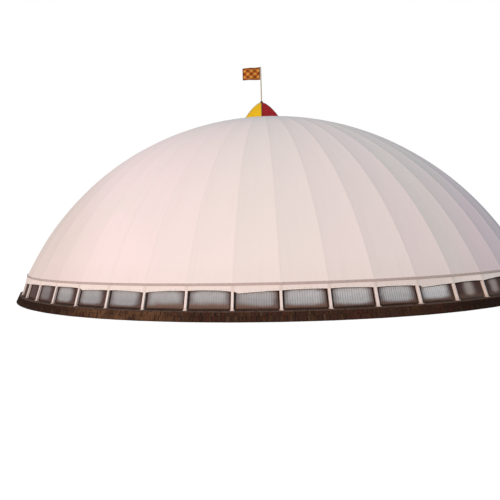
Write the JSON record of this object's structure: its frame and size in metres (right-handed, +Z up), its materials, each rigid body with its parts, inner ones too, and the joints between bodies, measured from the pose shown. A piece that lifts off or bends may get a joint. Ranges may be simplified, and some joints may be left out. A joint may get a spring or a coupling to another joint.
{
  "type": "tensile membrane dome hall",
  "caption": "Round hall with a ribbed white membrane dome, screened ventilation band, dark battered masonry plinth, two-colour ventilated crown cap and flag pole.",
  "frame": {"origin": "on the ground, under the crown, at the middle of the round plan", "axes": "+Z up; a rib faces -Y, and the flag flies towards -X"},
  "size_m": [38.4, 38.4, 17.58],
  "materials": {
    "membrane": "satin",
    "rib_paint": "satin",
    "rail_paint": "matte",
    "screen": "matte",
    "plinth_stone": "matte",
    "slab_concrete": "matte",
    "cap_yellow": "satin",
    "cap_red": "satin",
    "collar_paint": "satin",
    "pole_paint": "satin",
    "flag_cloth": "matte"
  },
  "bodies": {
    "root": {"floor_slab": "slab_concrete", "plinth_wall_1": "plinth_stone", "plinth_wall_2": "plinth_stone", "plinth_wall_3": "plinth_stone", "plinth_wall_4": "plinth_stone", "plinth_wall_5": "plinth_stone", "plinth_wall_6": "plinth_stone", "rib_frame_1": "rib_paint", "rib_frame_2": "rib_paint", "rib_frame_3": "rib_paint", "rib_frame_4": "rib_paint", "rib_frame_5": "rib_paint", "rib_frame_6": "rib_paint", "rib_frame_7": "rib_paint", "rib_frame_8": "rib_paint", "rib_frame_9": "rib_paint", "rib_frame_10": "rib_paint", "rib_frame_11": "rib_paint", "rib_frame_12": "rib_paint", "vent_screen_1": "screen", "vent_screen_2": "screen", "vent_screen_3": "screen", "vent_screen_4": "screen", "vent_screen_5": "screen", "vent_screen_6": "screen", "membrane_1": "membrane", "membrane_2": "membrane", "membrane_3": "membrane", "membrane_4": "membrane", "membrane_5": "membrane", "membrane_6": "membrane", "eave_rail_1": "rail_paint", "eave_rail_2": "rail_paint", "eave_rail_3": "rail_paint", "eave_rail_4": "rail_paint", "eave_rail_5": "rail_paint", "eave_rail_6": "rail_paint", "crown_ring": "rib_paint", "cap_frame": "rib_paint", "cap_red_1": "cap_red", "cap_red_2": "cap_red", "cap_yellow_1": "cap_yellow", "cap_yellow_2": "cap_yellow", "cap_collar": "collar_paint", "flag_pole": "pole_paint", "flag": "flag_cloth"}
  },
  "joints": []
}
